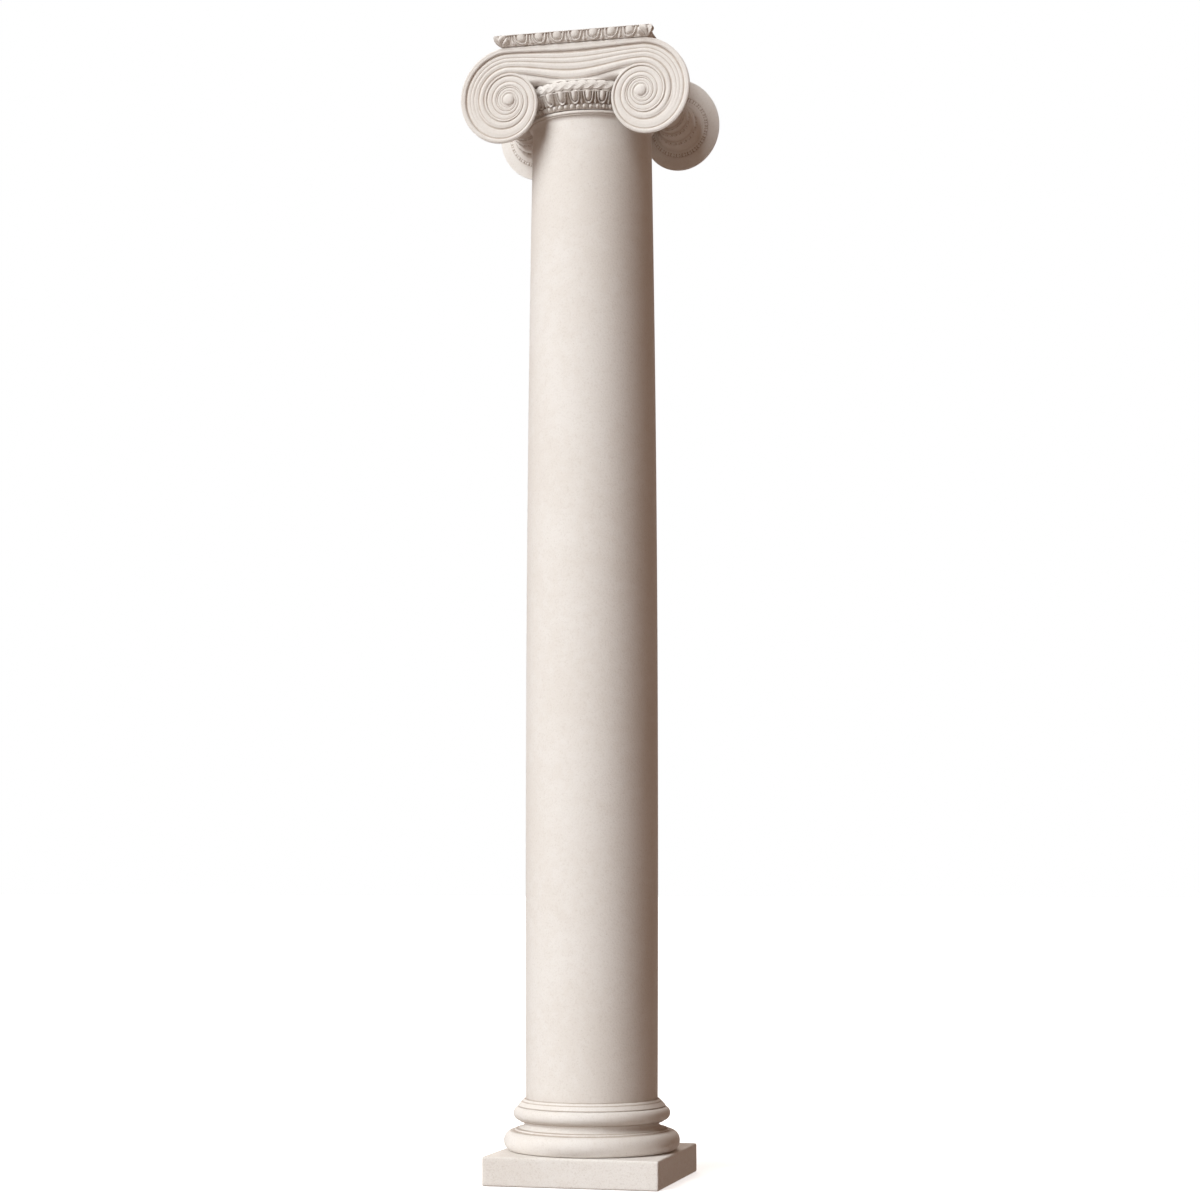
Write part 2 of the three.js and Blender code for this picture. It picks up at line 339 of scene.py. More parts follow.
# the base; all heights are above its foot
atticBase = {
    "segments": 144,
    # each torus: its radius, the height of its middle, how far it bulges and half its height
    "lowerTorus": (203.3, 23, 20, 23),
    "upperTorus": (181.3, 85, 15.6, 15.6),
    # radius and height of the points of each flat member, from below
    "lowerFillet": [(178.7, 45.8), (177.5, 46.4), (176.9, 49.6), (175.3, 50.4)],
    "upperFillet": [(166.5, 67.2), (166.9, 69.4)],
    "topSteps": [
        (170.7, 101.0), (170.5, 102.4), (168.9, 104.4), (164.2, 110.0), (163.2, 111.0), (161.0, 111.3),
        (160.8, 112.6), (159.6, 114.4), (156.8, 116.8), (155.6, 117.2), (155.4, 117.9),
    ],
    # the scotia's throat, and how far it sweeps out and away from there
    "throat": (156, 61),
    "sweepBelow": (18.5, 10),
    "sweepAbove": (9.9, 5.6),
    # sharp hollows that get painted shade, each with its width
    "creases": [(0, 2.2), (46.2, 1.1), (50.8, 0.8), (67.6, 1.6), (101.2, 1.1), (111.8, 1.0), (118, 1.1)],
}


def buildBase():
    b = atticBase

    def raised(points):
        return [(r, baseFoot + lift) for r, lift in points]

    radius, middle, bulge, half = b["lowerTorus"]
    profile = arc(radius - bulge, baseFoot + middle, bulge, half, -84, 76, 30)
    profile += raised(b["lowerFillet"])
    throat, throatLift = b["throat"]
    out, down = b["sweepBelow"]
    profile += arc(throat + out, baseFoot + throatLift, -out, down, -86, 0, 16)
    out, up = b["sweepAbove"]
    profile += arc(throat + out, baseFoot + throatLift, -out, up, 0, 86, 9)[1:]
    profile += raised(b["upperFillet"])
    radius, middle, bulge, half = b["upperTorus"]
    profile += arc(radius - bulge, baseFoot + middle, bulge, half, -78, 80, 26)
    profile += raised(b["topSteps"])
    creases = [(baseFoot + lift, width) for lift, width in b["creases"]]
    return turnedSolid(profile, b["segments"], creases)


# the shaft
shaftForm = {
    "segments": 144,
    "rows": 70,
    "foot": 152.5,  # the radii at the foot, at the widest place and at the neck
    "swell": 154.7,
    "neck": 142.3,
    "swellLift": 816,  # the widest place above the foot
    "neckDrop": 23,  # the neck under the top
    "flare": (6.2, 11),  # outwards and upwards
    "fillet": [(149.0, 11.4), (149.2, 13.0), (148.6, 13.4)],  # radius and height above the neck
    "ring": (148.6, 3.9, 4.4),  # radius, bulge and half its height
    "ringDrop": 5.4,
}


def shaftRadius(z):
    # drawn in from the widest place both ways, more slowly towards the neck
    s = shaftForm
    swellZ, neckZ = shaftFoot + s["swellLift"], shaftTop - s["neckDrop"]
    if z < swellZ:
        draw = (s["swell"] - s["foot"]) / (swellZ - shaftFoot) ** 2
    else:
        draw = (s["swell"] - s["neck"]) / (neckZ - swellZ) ** 2
    return s["swell"] - draw * (z - swellZ) ** 2


def buildShaft():
    s = shaftForm
    neckZ = shaftTop - s["neckDrop"]
    profile = [(s["foot"] - 0.2, shaftFoot + 0.1)]
    profile += [(shaftRadius(z), z) for z in np.linspace(shaftFoot + 2, neckZ, s["rows"])]
    out, up = s["flare"]
    profile += arc(s["neck"] + out, neckZ, -out, up, 0, 84, 14)
    profile += [(r, neckZ + lift) for r, lift in s["fillet"]]
    radius, bulge, half = s["ring"]
    profile += arc(radius, shaftTop - s["ringDrop"], bulge, half, -80, 84, 14)
    profile += [(radius - 0.2, shaftTop - 0.6), (radius - 1.6, shaftTop)]
    return turnedSolid(profile, s["segments"], [(shaftFoot, 1.6), (neckZ + 13, 0.9), (shaftTop, 1.0)])


# the scrolled faces
scroll = {
    "eyeX": 159.4,
    "eyeZ": capitalTop - 150.5,
    "eyeRadius": 13.5,
    "eyeDome": 5.0,
    "shrink": 0.51,  # one turn against the turn outside it
    "halfWidth": 126.4,
    "halfHeight": 134.7,
    "driftX": 11.3,  # how far the turns' centre lies from the eye
    "driftZ": -9.3,
    "sag": 24,  # how far the channel hangs in the middle
    "rimY": 175,
    "backY": 166.5,
    "dish": 4,  # the turns lie a little deeper towards the eye
    "arris": 1.8,  # depth of the outermost edge
    "groove": 3.0,  # depth between two turns
    "grooveShrink": 0.66,  # what is left of it one turn further in
    "bandShrink": 0.64,  # and of the carving between the grooves
    "ridgeFade": (0.12, 0.48),  # where the channel's ridges die out, in turns
    "shadeDepth": 0.9,  # a hollow this deep gets the full painted shade
    # how far round a point the depth is averaged for the painted shade
    "shadeReach": 5,
    "perTurn": 120,
    "turns": 3.5,
    "channelSteps": 72,
    "across": 64,
}

# depth of the carving across the band: 0 is the outer edge, 1 the next turn's outer edge
firstTurn = [
    (0, 1.8), (0.022, 0.25), (0.05, 0), (0.088, 0.1), (0.10, 0.55), (0.112, 0.1), (0.15, 0),
    (0.178, 0.5), (0.235, 5.0), (0.315, 3.5), (0.375, 3.9), (0.40, 4.7), (0.425, 3.7), (0.475, 3.1),
    (0.525, 3.7), (0.55, 4.5), (0.575, 3.6), (0.635, 3.1), (0.70, 4.1), (0.755, 5.7), (0.80, 1.6),
    (0.865, 0.2), (0.94, 0.9), (1, 3.0),
]
laterTurns = [
    (0, 3.0), (0.04, 0.6), (0.11, 0), (0.155, 0.4), (0.215, 4.0), (0.29, 2.4), (0.42, 1.5),
    (0.56, 1.9), (0.66, 3.9), (0.735, 1.2), (0.84, 0.1), (0.93, 0.7), (1, 3.0),
]


def spiral(turns):
    angle = math.pi / 2 - 2 * math.pi * turns
    size = scroll["shrink"] ** turns
    x = scroll["eyeX"] + size * (scroll["halfWidth"] * np.cos(angle) + scroll["driftX"])
    z = scroll["eyeZ"] + size * (scroll["halfHeight"] * np.sin(angle) + scroll["driftZ"])
    return x, z


def edgeDepth(turns):
    # depth of the band's outer edge: a soft arris outside, a groove between turns
    s = scroll
    inside = smoothStep(0.8, 1.05, turns)
    return s["arris"] * (1 - inside) + s["groove"] * inside * s["grooveShrink"] ** np.maximum(turns - 1, 0)


def bandDepth(turns, across):
    s = scroll
    later = smoothStep(*s["ridgeFade"], turns)
    body = throughPoints(across, firstTurn) * (1 - later) + throughPoints(across, laterTurns) * later
    body = body * s["bandShrink"] ** turns
    # both edges run into the edge depth, so that neighbouring turns meet
    outer = 1 - smoothStep(0, 0.045, across)
    inner = smoothStep(0.93, 1, across)
    body = body * (1 - outer) + edgeDepth(turns) * outer
    body = body * (1 - inner) + edgeDepth(turns + 1) * inner
    return body + s["dish"] * (1 - 0.5 ** (turns + across))


def scrollHollows(depth, along):
    # painted shade in each groove, which is deeper than the band around it
    reach, columns = scroll["shadeReach"], depth.shape[1]
    padded = np.pad(depth, ((0, 0), (reach, reach)), mode="edge")
    around = sum(padded[:, k:k + columns] for k in range(2 * reach + 1)) / (2 * reach + 1)
    hollows = np.clip((depth - around) / scroll["shadeDepth"] / 0.75 ** along, 0, 1)
    hollows[:, :3] = np.where(along > 0.95, 0.8, 0)
    hollows[:, -2:] = 0.8
    return hollows


def buildScrolls():
    # half the channel, then the turns, row by row; the other half is its mirror image
    s = scroll
    across = np.linspace(0, 1, s["across"] + 1)
    reach = np.linspace(0, 1, s["channelSteps"] + 1)[:-1, None]
    turns = (np.arange(int(s["perTurn"] * s["turns"]) + 1) / s["perTurn"])[:, None]
    topX, topZ = spiral(0.0)
    footX, footZ = spiral(1.0)
    sag = s["sag"] * (1 + np.cos(math.pi * reach)) / 2
    channelX = reach * (topX + (footX - topX) * across)
    channelZ = topZ + (footZ - sag - topZ) * across
    outerX, outerZ = spiral(turns)
    innerX, innerZ = spiral(turns + 1)
    x = np.concatenate([channelX, outerX + (innerX - outerX) * across])
    z = np.concatenate([channelZ, outerZ + (innerZ - outerZ) * across])
    along = np.concatenate([0 * reach, turns])
    depth = bandDepth(along, across[None, :])
    rows, columns = x.shape
    points = np.stack([x, depth - s["rimY"], z], axis=-1).reshape(-1, 3)
    faces = gridFaces(rows, columns).tolist()

    # a flat sheet behind it, two points to each row, and a wall along the free edges
    front, last, perTurn = len(points), rows - 1, s["perTurn"]
    backX, backZ = x[:, [0, -1]], z[:, [0, -1]]
    back = np.stack([backX, np.full((rows, 2), -s["backY"]), backZ], axis=-1).reshape(-1, 3)
    faces += (gridFaces(rows, 2) + front).tolist()
    for n in range(s["channelSteps"] + perTurn):
        faces.append([n * columns, front + 2 * n, front + 2 * n + 2, (n + 1) * columns])
    for n in range(s["channelSteps"]):
        low, nextLow = n * columns + columns - 1, (n + 1) * columns + columns - 1
        faces.append([low, nextLow, front + 2 * n + 3, front + 2 * n + 1])

    # close the hole under the eye, in front and behind
    loop = [n * columns + columns - 1 for n in range(last - perTurn, last + 1)]
    loop += [last * columns + k for k in range(columns - 2, 0, -1)]
    faces.append(loop)
    faces.append([front + 2 * n + 1 for n in range(last - perTurn, last + 1)])

    points = np.concatenate([points, back])
    hollows = np.concatenate([np.ravel(scrollHollows(depth, along)), np.zeros(len(back))])
    mirrored = points * np.array([-1, 1, 1])
    both = joinParts([(points, faces, hollows), (mirrored, faces, hollows)])
    return joinParts([both, eyeButton(-1), eyeButton(1)])


def eyeButton(side, rings=12, segments=48):
    s = scroll
    foot = s["rimY"] - s["dish"] + 0.4
    profile = [(s["eyeRadius"], s["backY"] + 1)]
    for a in np.linspace(math.pi / 2, 0.06, rings):
        profile.append((s["eyeRadius"] * math.sin(a), foot + s["eyeDome"] * math.cos(a)))
    angles = np.arange(segments) * 2 * math.pi / segments
    points = []
    for r, y in profile:
        x, z = side * s["eyeX"] + r * np.cos(angles), s["eyeZ"] + r * np.sin(angles)
        points.append(np.stack([x, np.full(segments, -y), z], axis=-1))
    return np.concatenate(points), closedTube(len(profile), segments), None


def turnedRound(part):
    # the same part on the other side of the column
    points, faces, hollows = part
    return points * np.array([-1, -1, 1]), faces, hollows


# the carved patterns, as heights from 0 to 1 over a surface
def beadAndReel(along, across):
    # along counts units; a long bead and two thin reels in each
    place = along - np.floor(along)
    beadMiddle, beadHalf, reelHalf = 0.34, 0.30, 0.062
    bead = np.clip(1 - ((place - beadMiddle) / beadHalf) ** 2 - (across / 0.98) ** 2, 0, 1) ** 0.5
    reels = 0 * bead
    for reelMiddle in (0.755, 0.915):
        disc = np.clip(1 - ((place - reelMiddle) / reelHalf) ** 4, 0, 1) ** 0.5
        reels = np.maximum(reels, 0.86 * disc * np.clip(1 - (across / 0.92) ** 2, 0, 1) ** 0.5)
    return np.maximum(bead, reels)


def eggAndDart(along, up, eggWidth, centre=0.62, reach=0.36):
    # along counts units with an egg at each whole number, up runs from 0 at the foot to 1;
    # an egg in a U-shaped shell, and a dart between two shells
    place = along - np.round(along)
    below = np.clip((centre - up) / reach, 0, 3)
    widening = 1 + 0.14 * smoothStep(0.4, 1, up)
    ring = np.sqrt((place / (eggWidth * widening)) ** 2 + below ** 2)
    egg = np.clip(1 - ring ** 2, 0, 1) ** 0.5
    shellMiddle, shellHalf = 1.43, 0.27
    shell = 0.78 * np.clip(1 - ((ring - shellMiddle) / shellHalf) ** 2, 0, 1) ** 0.6
    away = 0.5 - np.abs(place)
    dartHalf = 0.042 + 0.085 * smoothStep(0.56, 0.18, up) * smoothStep(0.0, 0.2, up)
    dart = 0.72 * np.clip(1 - away / dartHalf, 0, 1) ** 0.6
    return np.maximum(np.maximum(egg, shell), dart)


def plait(along, across, strands=3):
    # flat strands that pass over and under each other, each with cords along it
    swing, half, slant = 0.58, 0.40, 1.15
    height = np.zeros(np.broadcast(along, across).shape)
    for k in range(strands):
        turn = 2 * math.pi * (along + k / strands)
        slope = swing * np.cos(turn) * slant
        offset = (across - swing * np.sin(turn)) / np.sqrt(1 + slope ** 2)
        body = np.clip(1 - (offset / half) ** 4, 0, 1) ** 0.5
        cords = 0.86 + 0.14 * np.cos(offset / half * 2.4 * math.pi)
        over = 0.74 - 0.26 * np.sin(2 * turn)
        height = np.maximum(height, body * cords * over)
    return height * np.clip(1.2 - np.abs(across) ** 8, 0, 1)


# the echinus, three carved rings one above the other
echinus = {
    "beadFoot": shaftTop,
    "eggFoot": shaftTop + 13,
    "plaitFoot": shaftTop + 38,
    "plaitTop": shaftTop + 64,
    "core": 138,  # inner radius of the rings
    "beads": 64,
    "eggs": 32,
    "plaits": 16,
    "beadSteps": 12,  # mesh steps for each bead, egg and plait
    "eggSteps": 32,
    "plaitSteps": 52,
    "beadHeight": 5.2,
    "eggHeight": 10,
    "plaitHeight": 5.4,
    "eggShade": 1.35,  # the deep ground of these rows gets more painted shade than the beads' does
    "plaitShade": 1.3,
    "plainSegments": 180,
}


def buildEchinus():
    e = echinus
    core, beadFoot, eggFoot = e["core"], e["beadFoot"], e["eggFoot"]
    plaitFoot, plaitTop = e["plaitFoot"], e["plaitTop"]
    wholeTurn = 2 * math.pi

    def beads(angle, across):
        lane = (across - 0.5) * 2.0 / 0.92
        return e["beadHeight"] * beadAndReel(angle / wholeTurn * e["beads"], lane)

    def eggs(angle, across):
        return e["eggHeight"] * eggAndDart(angle / wholeTurn * e["eggs"], across, eggWidth=0.20)

    def braid(angle, across):
        lane = (across - 0.5) * 2 / 0.88
        height = e["plaitHeight"] * plait(angle / wholeTurn * e["plaits"], lane)
        return np.where(np.abs(lane) < 1, height, 0)

    # the last argument scales the painted shade in the ring's hollows
    def ring(outer, foot, top, steps, relief=None, dustAndShade=1.0):
        points, faces, hollows = turnedRing(outer, [(core, top), (core, foot)], steps, relief)
        return points, faces, dustAndShade * hollows

    beadRows = [(154.4, z) for z in np.linspace(beadFoot + 0.05, eggFoot, 15)]
    eggRows = []
    for lean in np.linspace(0, math.pi / 2, 34):
        rise = 0.25 * math.sin(lean) + 0.75 * lean / (math.pi / 2)
        eggRows.append((154 + 13 * math.sin(lean) ** 1.1, eggFoot + (plaitFoot - eggFoot) * rise))
    middle, half = (plaitFoot + plaitTop) / 2, (plaitTop - plaitFoot) / 2
    plaitRows = arc(168.0, middle, 7.4, half - 1.2, -84, 84, 36)
    # a thin listel between the eggs and the plait, and a cove over the plait
    listelRows = [(160, plaitFoot - 1.4)] + arc(173.6, plaitFoot, 1.3, 1.3, -90, 90, 6)
    listelRows += [(160, plaitFoot + 1.4)]
    coveRows = [(160, plaitTop - 1.8)] + arc(173.4, plaitTop - 0.2, 1.5, 1.5, -90, 60, 6)
    for r, lift in [(171.0, 2.2), (166.5, 4.2), (162.6, 7.0), (160.2, 10.5), (158.0, 12)]:
        coveRows.append((r, plaitTop + lift))
    return joinParts([
        ring(beadRows, beadFoot + 0.05, eggFoot, e["beads"] * e["beadSteps"], beads),
        ring(eggRows, eggFoot, plaitFoot, e["eggs"] * e["eggSteps"], eggs, e["eggShade"]),
        ring(plaitRows, plaitFoot, plaitTop, e["plaits"] * e["plaitSteps"], braid, e["plaitShade"]),
        ring(listelRows, plaitFoot - 1.4, plaitFoot + 1.4, e["plainSegments"]),
        ring(coveRows, plaitTop - 1.8, plaitTop + 12, e["plainSegments"]),
    ])


# the bolsters that join the front scrolls to the rear ones
bolsterForm = {
    "axisX": 179,
    "axisZ": capitalTop - 151,
    "waist": 35.5,
    "swell": 23.5,
    "flarePower": 26,  # the higher, the later it flares out to the scroll's edge
    "rows": [39, 76, 122, 158],  # the beaded rows' places along the bolster, from its middle
    "beads": [20, 24, 24, 30],  # how many beads go round each row; they divide the segments
    "beadHeight": 4.6,
    "beadHalf": 3.4,
    "filletAway": 5.3,  # a fillet on either side of each row
    "filletHalf": 1.35,
    "filletHeight": 2.6,
    "channelDepth": 3.0,  # between the rows
    # strength of the painted shade in the ground of the rows
    "dustAndShade": 1.5,
    "segments": 240,
    "step": 1.6,
}


def outlineRadius(angles):
    # distance from the bolster's axis to the edge of the scrolled face
    turns = np.linspace(0, 0.9, 400)
    x, z = spiral(turns)
    x, z = x - bolsterForm["axisX"], z - bolsterForm["axisZ"]
    around, radius = np.unwrap(np.arctan2(z, x)), np.hypot(x, z)
    # the hidden quarter, inside the cushion, joins the two ends
    order = np.argsort(around)
    return np.interp(angles, around[order], radius[order], period=2 * math.pi)


def bolsterRelief(along, rowPlaces, angles):
    # height of the beaded rows and channels, and where shade is painted
    b = bolsterForm
    height = np.zeros((len(along), len(angles)))
    nearRow = np.full(len(along), 1e9)
    for place, count in zip(rowPlaces, b["beads"]):
        offset = along - place
        nearRow = np.minimum(nearRow, np.abs(offset))
        lane = (offset / b["beadHalf"])[:, None]
        beads = b["beadHeight"] * beadAndReel(angles[None, :] / (2 * math.pi) * count, lane)
        height = np.maximum(height, np.where(np.abs(lane) < 1, beads, 0))
        for beside in (-b["filletAway"], b["filletAway"]):
            across = (offset - beside) / b["filletHalf"]
            fillet = b["filletHeight"] * np.clip(1 - across ** 2, 0, 1) ** 0.5
            height = np.maximum(height, fillet[:, None])
    inRow = (1 - smoothStep(5.6, 8.5, nearRow))[:, None]
    hollows = b["dustAndShade"] * hollowOf(height / b["beadHeight"]) * inRow
    plainEnd = smoothStep(rowPlaces[-1] + 6, rowPlaces[-1] + 14, along)
    channel = smoothStep(6.4, 9.5, nearRow) * (1 - plainEnd)
    return height - b["channelDepth"] * channel[:, None], hollows


def buildBolster(side):
    b = bolsterForm
    end = scroll["backY"] + 0.3
    # even steps along the curve of a plain round bolster
    fine = np.linspace(0, end, 3000)
    curve = b["waist"] + b["swell"] * (fine / end) ** 2 + 40 * (fine / end) ** b["flarePower"]
    length = np.concatenate([[0], np.cumsum(np.hypot(np.diff(fine), np.diff(curve)))])
    along = np.linspace(0, length[-1], int(length[-1] / b["step"]) + 1)
    y = np.interp(along, length, fine)
    angles = np.arange(b["segments"]) * 2 * math.pi / b["segments"]
    outline = outlineRadius(angles)[None, :] - 0.3
    reach = (y / end)[:, None]
    flare = outline - b["waist"] - b["swell"]
    radius = b["waist"] + b["swell"] * reach ** 2 + flare * reach ** b["flarePower"]
    rowPlaces = [np.interp(row, fine, length) for row in b["rows"]]
    height, hollows = bolsterRelief(along, rowPlaces, angles)
    radius = radius + height

    # the rear half mirrors the front half
    radius = np.concatenate([radius[:0:-1], radius])
    hollows = np.concatenate([hollows[:0:-1], hollows])
    y = np.concatenate([-y[:0:-1], y])
    x = side * (b["axisX"] + radius * np.cos(angles))
    z = b["axisZ"] + radius * np.sin(angles)
    points = np.stack([x, y[:, None] + 0 * x, z], axis=-1).reshape(-1, 3)
    return points, closedTube(len(y), b["segments"]), hollows


# the cushion, the body between the two faces
cushionForm = {
    "footZ": shaftTop + 63,
    "waistX": 158,
    "topX": 167,
    "halfY": 146,
    "faceFootZ": shaftTop + 90,  # above this the body reaches out to the scrolled faces
    "faceY": 166,
    "innerY": 140,
    "skirtX": 126,
    "skirtRadius": 175.5,
    "skirtLeastY": 147,
    "bendZ": shaftTop + 76,
    "rows": 26,
    "perSide": 24,
    "skirtSteps": 85,
    "bendSteps": 14,
}


def flaredBlock(footZ, nearY, farY):
    # a block between two depths whose left and right sides flare out under the abacus
    c = cushionForm
    topZ, perSide = faceTop + 1, c["perSide"]
    points = []
    for z in np.linspace(footZ, topZ, c["rows"]):
        lift = (z - c["footZ"]) / (topZ - c["footZ"])
        halfX = c["waistX"] + (c["topX"] - c["waistX"]) * (1 - math.cos(lift * math.pi / 2)) ** 1.1
        plan = [(-halfX, nearY), (halfX, nearY), (halfX, farY), (-halfX, farY)]
        for (x, y), (nextX, nextY) in zip(plan, plan[1:] + plan[:1]):
            for k in range(perSide):
                points.append((x + (nextX - x) * k / perSide, y + (nextY - y) * k / perSide, z))
    return np.array(points), closedTube(c["rows"], 4 * perSide), None


def skirt():
    # under the channel the face sweeps back to the round top of the plait
    c = cushionForm
    x = np.linspace(-c["skirtX"], c["skirtX"], c["skirtSteps"])
    inner, faceY = np.full_like(x, c["innerY"]), c["faceY"] + 0.6
    roundY = np.sqrt(np.maximum(c["skirtRadius"] ** 2 - x ** 2, c["skirtLeastY"] ** 2))
    topZ, footZ = c["faceFootZ"] + 4, c["footZ"] + 0.6
    rows = [(inner, topZ), (np.full_like(x, faceY), topZ)]
    for sweep in np.radians(np.linspace(0, 90, c["bendSteps"])):
        y = faceY + (roundY - faceY) * (1 - math.cos(sweep))
        rows.append((y, c["bendZ"] + (footZ - c["bendZ"]) * math.sin(sweep)))
    rows.append((inner, footZ))
    points = np.concatenate([np.column_stack([x, -y, np.full_like(x, z)]) for y, z in rows])
    faces = gridFaces(len(rows), len(x), wrapRows=True).tolist()
    faces.append([row * len(x) for row in range(len(rows))])
    faces.append([row * len(x) + len(x) - 1 for row in range(len(rows))])
    return points, faces, None


def buildCushion():
    c = cushionForm
    front = joinParts([flaredBlock(c["faceFootZ"], -c["faceY"], -c["halfY"] + 2), skirt()])
    return joinParts([flaredBlock(c["footZ"], -c["halfY"], c["halfY"]), front, turnedRound(front)])


# the abacus
abacusForm = {
    "footHalf": 176,
    "topHalf": 184,
    "leaveDegrees": 54,  # how steeply the rounded edge leaves the faces below it
    "eggPitch": 44,
    "eggShift": 6,  # the eggs sit a little to one side of the middle
    "eggHeight": 6.2,
    "leafFrom": 154,  # the corner leaves start this far from the middle
    "leafHeight": 12,
    "lip": 1.5,
    "lipOut": 5.9,
    "drawnIn": 12,  # the left and right sides lie this far inside the corners
    # strength of the painted shade in the ground between the eggs
    "dustAndShade": 0.3,
    "samples": 372,
    "rows": 32,
}


def cornerLeaf(fromCorner, up):
    # a leaf folded over the corner: a midrib on the arris, lobes that fan out to both sides
    across = np.clip(fromCorner / (abacusForm["topHalf"] - abacusForm["leafFrom"]), 0, 1)
    fan = np.arctan2(up + 0.15, across + 1e-6) / (math.pi / 2)
    lobes = np.abs(np.sin(fan * math.pi * 3.5)) ** 0.7
    edge = 1 - smoothStep(0.80, 0.97, np.hypot(across, (1 - up) * 0.5) + 0.06 * (1 - lobes))
    midrib = np.clip(1 - (across / 0.14) ** 2, 0, 1) ** 0.5
    return np.maximum((0.25 + 0.65 * lobes) * edge, 0.95 * midrib)


def carvedEdge(edgeTop):
    # one side of the rounded edge, carved with eggs, as x, y and z row by row, and its painted shade
    a = abacusForm
    start = math.radians(a["leaveDegrees"])
    turn = np.linspace(start, math.pi / 2, a["rows"])[:, None]
    up = (turn - start) / (math.pi / 2 - start)
    out = (np.sin(turn) - math.sin(start)) / (1 - math.sin(start))
    half = a["footHalf"] + (a["topHalf"] - a["footHalf"]) * out
    z = faceTop + (edgeTop - faceTop) * (1 - np.cos(turn) / math.cos(start))
    u = np.linspace(-1, 1, a["samples"] + 1)[:-1][None, :]
    place = u * a["topHalf"]
    fromCorner = a["topHalf"] - np.abs(place)
    leafReach = a["topHalf"] - a["leafFrom"]
    eggs = eggAndDart((place - a["eggShift"]) / a["eggPitch"], up, eggWidth=0.215)
    leaf = cornerLeaf(fromCorner, up)
    inLeaf = 1 - smoothStep(leafReach - 1.0, leafReach, fromCorner)
    carved = eggs * (1 - inLeaf) + leaf * inLeaf
    bulge = np.sin(math.pi * (0.08 + 0.62 * up))  # the leaves lean out towards the top
    height = a["eggHeight"] * eggs * (1 - inLeaf) + a["leafHeight"] * bulge * leaf * inLeaf
    # the relief turns towards the diagonal near a corner, so that two sides meet
    diagonal = (1 - smoothStep(0, leafReach, fromCorner)) * np.sign(u) * math.pi / 4
    x = u * half + height * np.sin(diagonal)
    y = -half - height * np.cos(diagonal)
    z = z - 0.25 * height * np.cos(turn) + 0 * x
    return x, y, z, a["dustAndShade"] * hollowOf(carved) * smoothStep(0.15, 0.45, up)


def buildAbacus():
    # the four carved sides, and a thin lip and a flat top that cut the eggs off
    a = abacusForm
    edgeTop = capitalTop - a["lip"]
    x, y, z, dustAndShade = carvedEdge(edgeTop)
    sides = [np.stack([c * x - s * y, s * x + c * y, z], axis=-1) for c, s in quarterTurns]
    ring, hollows = np.concatenate(sides, axis=1), np.concatenate([dustAndShade] * 4, axis=1)
    lipHalf = a["topHalf"] + a["lipOut"]
    straight = np.linspace(-lipHalf, lipHalf, a["samples"] + 1)[:-1]
    edge = np.stack([straight, np.full_like(straight, -lipHalf)], axis=-1)
    around = np.concatenate([edge @ np.array([[c, s], [-s, c]]) for c, s in quarterTurns])
    lipRows = [(0.2, edgeTop + 0.2), (0, edgeTop + 0.5), (0, capitalTop - 0.3), (0.3, capitalTop)]
    for inset, level in lipRows:
        row = np.column_stack([around * (1 - inset / lipHalf), np.full(len(around), level)])
        ring = np.concatenate([ring, row[None]])
        hollows = np.concatenate([hollows, np.zeros((1, len(around)))])
    # draw the left and right sides in between the corners
    between = 1 - smoothStep(140, 178, np.abs(ring[..., 1]))
    atSide = smoothStep(150, 174, np.abs(ring[..., 0])) * np.sign(ring[..., 0])
    ring[..., 0] -= a["drawnIn"] * between * atSide
    rows, count = ring.shape[:2]
    return ring.reshape(-1, 3), closedTube(rows, count), hollows


# make the pieces
# the second number sets how strongly shade is painted into hollows and creases
plinthPlaster = castPlaster("plinth_plaster", 0.7, 1.5, seed=3.1)
basePlaster = castPlaster("base_plaster", 1.15, 1.0, seed=7.7)
shaftPlaster = castPlaster("shaft_plaster", 0.6, 1.0, seed=12.4)
capitalPlaster = castPlaster("capital_plaster", 0.95, 0.8, seed=1.9)
abacusPlaster = castPlaster("abacus_plaster", 0.85, 0.8, seed=5.2)  # its edge gets a little less painted shade

makePiece("plinth_block", buildPlinth(), "plinth", plinthPlaster)
makePiece("attic_base", buildBase(), "base_moulding", basePlaster, 28)
makePiece("tapered_shaft", buildShaft(), "shaft", shaftPlaster, 30)

frontScrolls = buildScrolls()
for name, part in [
    ("capital_front_scrolls", frontScrolls),
    ("capital_rear_scrolls", turnedRound(frontScrolls)),
    ("capital_left_bolster", buildBolster(-1)),
    ("capital_right_bolster", buildBolster(1)),
    ("capital_echinus", buildEchinus()),
    ("capital_cushion", buildCushion()),
]:
    makePiece(name, part, "capital", capitalPlaster)
makePiece("capital_abacus", buildAbacus(), "capital", abacusPlaster)
print("column built")


# floor, light and camera
studio = {
    "floorHalf": 60,
    "floorColour": (0.9, 0.9, 0.9, 1),
    "floorGlow": 0.66,
    "keyDegrees": (-30, 35),  # round the column from the front, and above the horizon
    "keyStrength": 2.95,
    "keyColour": (0.97, 1.0, 1.0),
    "keySoftness": 44,
    "lowDegrees": (-24, 3),  # a low light that reaches under the mouldings
    "lowStrength": 0.64,
    "lowSoftness": 24,
    "rearDegrees": (194, 35),
    "rearStrength": 1.0,
    "rearColour": (1.0, 0.95, 0.9),
    "rearSoftness": 30,
    "shade": (0.195, 0.124, 0.087, 1),  # the light that reaches the shaded side
    "shadeStrength": 1.0,
    "surround": (1.0, 1.0, 1.0, 1),
    "cameraPlace": (1.5239, -5.9537, 0.7100),
    "cameraDegrees": (95.872, 0, 14.182),
    "lens": 78.556,
    "sensor": 36,
}


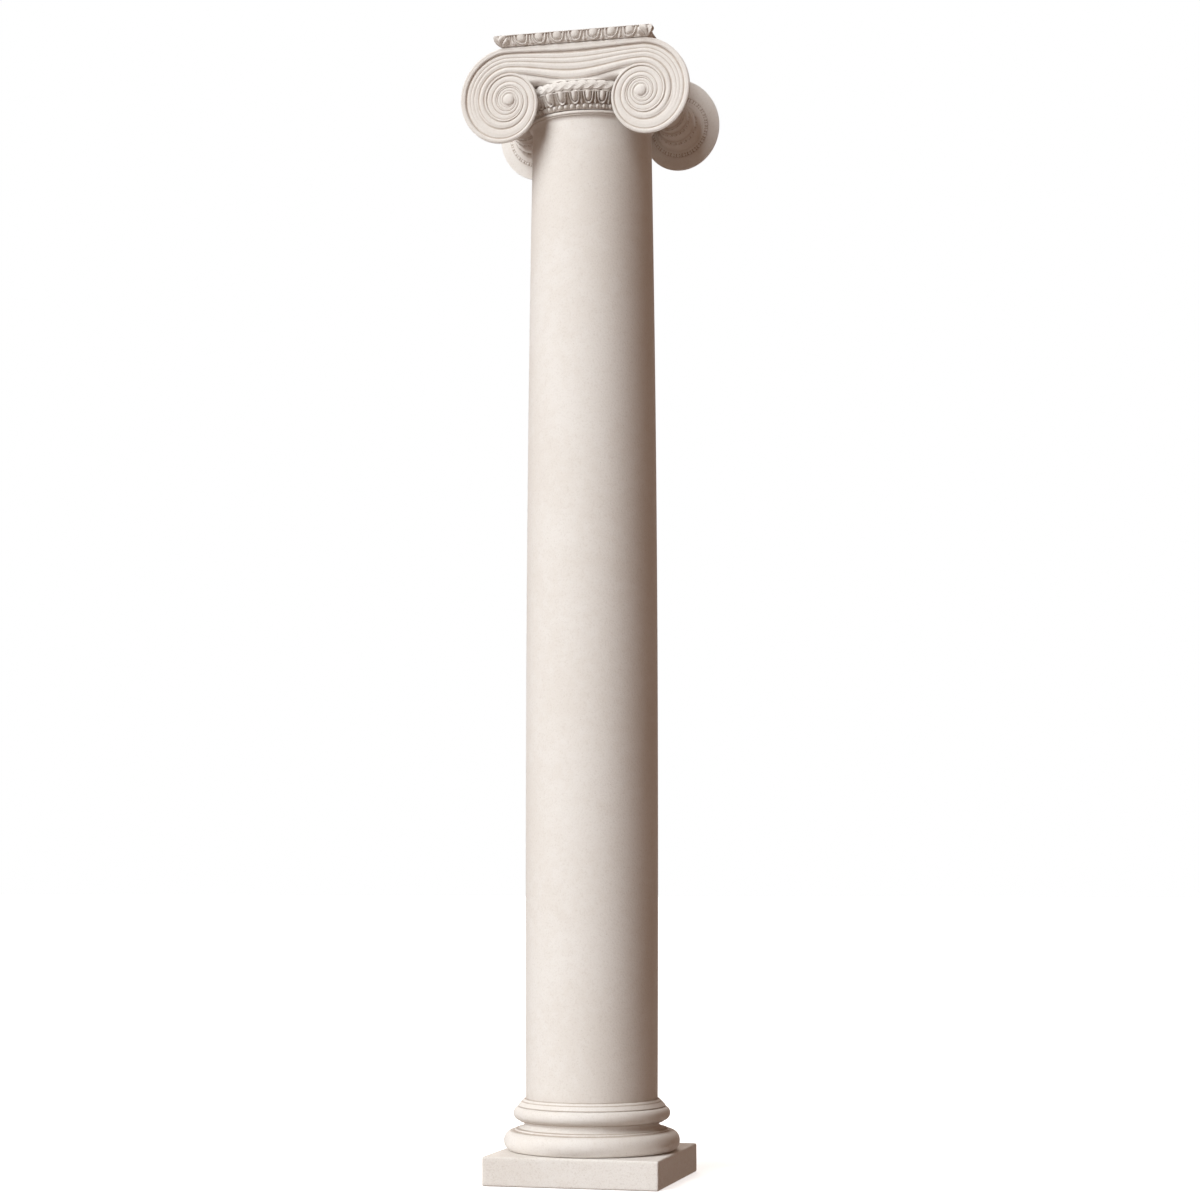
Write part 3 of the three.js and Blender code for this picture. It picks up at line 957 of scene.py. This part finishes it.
def buildFloor():
    material = bpy.data.materials.new("pale_floor")
    material.use_nodes = True
    shader = material.node_tree.nodes["Principled BSDF"]
    shader.inputs["Base Color"].default_value = studio["floorColour"]
    shader.inputs["Roughness"].default_value = 0.9
    shader.inputs["Specular IOR Level"].default_value = 0.0
    shader.inputs["Emission Color"].default_value = (1, 1, 1, 1)
    shader.inputs["Emission Strength"].default_value = studio["floorGlow"]
    half = studio["floorHalf"]
    mesh = bpy.data.meshes.new("floor")
    corners = [(-half, -half, 0), (half, -half, 0), (half, half, 0), (-half, half, 0)]
    mesh.from_pydata(corners, [], [(0, 1, 2, 3)])
    mesh.materials.append(material)
    floor = bpy.data.objects.new("floor", mesh)
    bpy.context.scene.collection.objects.link(floor)
    floor.visible_diffuse = False


def addSun(name, degrees, strength, colour, softness):
    around, above = map(math.radians, degrees)
    lamp = bpy.data.lights.new(name, "SUN")
    lamp.energy = strength
    lamp.color = colour
    lamp.angle = math.radians(softness)
    sun = bpy.data.objects.new(name, lamp)
    bpy.context.scene.collection.objects.link(sun)
    sun.rotation_euler = (math.pi / 2 - above, 0, around)
    sun.location = (4 * math.sin(around), -4 * math.cos(around), 4)


def buildSurround():
    world = bpy.data.worlds.new("studio")
    bpy.context.scene.world = world
    world.use_nodes = True
    tree = world.node_tree
    tree.nodes.clear()
    start = Wire(tree)
    seen = start.node("ShaderNodeLightPath", output="Is Camera Ray")
    colour = seen.mixed(studio["shade"], studio["surround"])
    light = {"Color": colour, "Strength": studio["shadeStrength"]}
    background = start.node("ShaderNodeBackground", None, light)
    start.node("ShaderNodeOutputWorld", None, {"Surface": background})


def buildCamera():
    lens = bpy.data.cameras.new("camera")
    lens.lens = studio["lens"]
    lens.sensor_width = studio["sensor"]
    lens.clip_start, lens.clip_end = 0.1, 200
    camera = bpy.data.objects.new("camera", lens)
    bpy.context.scene.collection.objects.link(camera)
    camera.location = studio["cameraPlace"]
    camera.rotation_euler = [math.radians(turn) for turn in studio["cameraDegrees"]]
    bpy.context.scene.camera = camera


buildFloor()
addSun("key", studio["keyDegrees"], studio["keyStrength"], studio["keyColour"], studio["keySoftness"])
addSun("low", studio["lowDegrees"], studio["lowStrength"], studio["keyColour"], studio["lowSoftness"])
addSun("rear", studio["rearDegrees"], studio["rearStrength"], studio["rearColour"], studio["rearSoftness"])
buildSurround()
buildCamera()
bpy.context.scene.view_settings.view_transform = "Standard"
print("floor, light and camera set")
